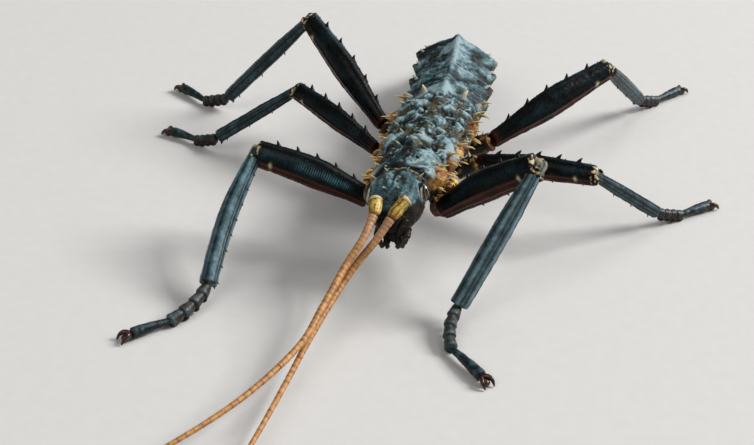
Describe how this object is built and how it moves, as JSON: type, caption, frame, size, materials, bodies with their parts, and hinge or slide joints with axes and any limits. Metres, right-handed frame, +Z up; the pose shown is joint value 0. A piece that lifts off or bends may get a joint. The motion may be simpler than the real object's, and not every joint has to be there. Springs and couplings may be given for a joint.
{
  "type": "stick insect",
  "caption": "Still, life-size wingless spiny stick insect standing on six legs, with long feelers held forward and a broad segmented abdomen.",
  "frame": {"origin": "centre of the overall box at floor level, the plane the feet stand on", "axes": "the head points along -Y and the abdomen along +Y, the insect's left side is +X, +Z is up"},
  "size_m": [0.0998, 0.1326, 0.0227],
  "materials": {
    "body": "granular blue-grey to black cuticle, satin",
    "leg": "black cuticle with a blue sheen, satin",
    "foot": "dark blue-grey cuticle, satin",
    "hip": "orange-brown cuticle, satin",
    "feeler_base": "yellow cuticle with dark dots, satin",
    "feeler": "orange-brown ringed cuticle, satin",
    "claw": "red-brown, glossy",
    "eye": "dark grey-brown with pale streaks, glossy",
    "mouth": "black-brown, glossy"
  },
  "bodies": {
    "root": {"head": "body", "prothorax": "body", "mesothorax": "body", "metathorax": "body", "abdomen_2": "body", "abdomen_3": "body", "abdomen_4": "body", "abdomen_5": "body", "abdomen_6": "body", "abdomen_7": "body", "abdomen_8": "body", "abdomen_9": "body", "abdomen_10": "body", "cercus_left": "body", "cercus_right": "body", "mouth": "mouth", "eye_left": "eye", "eye_right": "eye", "feeler_left_scape": "feeler_base", "feeler_left_1": "feeler", "feeler_left_2": "feeler", "feeler_right_scape": "feeler_base", "feeler_right_1": "feeler", "feeler_right_2": "feeler", "front_left_hip": "hip", "front_left_femur": "leg", "front_left_tibia": "leg", "front_left_foot": "foot", "front_left_claws": "claw", "front_right_hip": "hip", "front_right_femur": "leg", "front_right_tibia": "leg", "front_right_foot": "foot", "front_right_claws": "claw", "middle_left_hip": "hip", "middle_left_femur": "leg", "middle_left_tibia": "leg", "middle_left_foot": "foot", "middle_left_claws": "claw", "middle_right_hip": "hip", "middle_right_femur": "leg", "middle_right_tibia": "leg", "middle_right_foot": "foot", "middle_right_claws": "claw", "hind_left_hip": "hip", "hind_left_femur": "leg", "hind_left_tibia": "leg", "hind_left_foot": "foot", "hind_left_claws": "claw", "hind_right_hip": "hip", "hind_right_femur": "leg", "hind_right_tibia": "leg", "hind_right_foot": "foot", "hind_right_claws": "claw"}
  },
  "joints": []
}
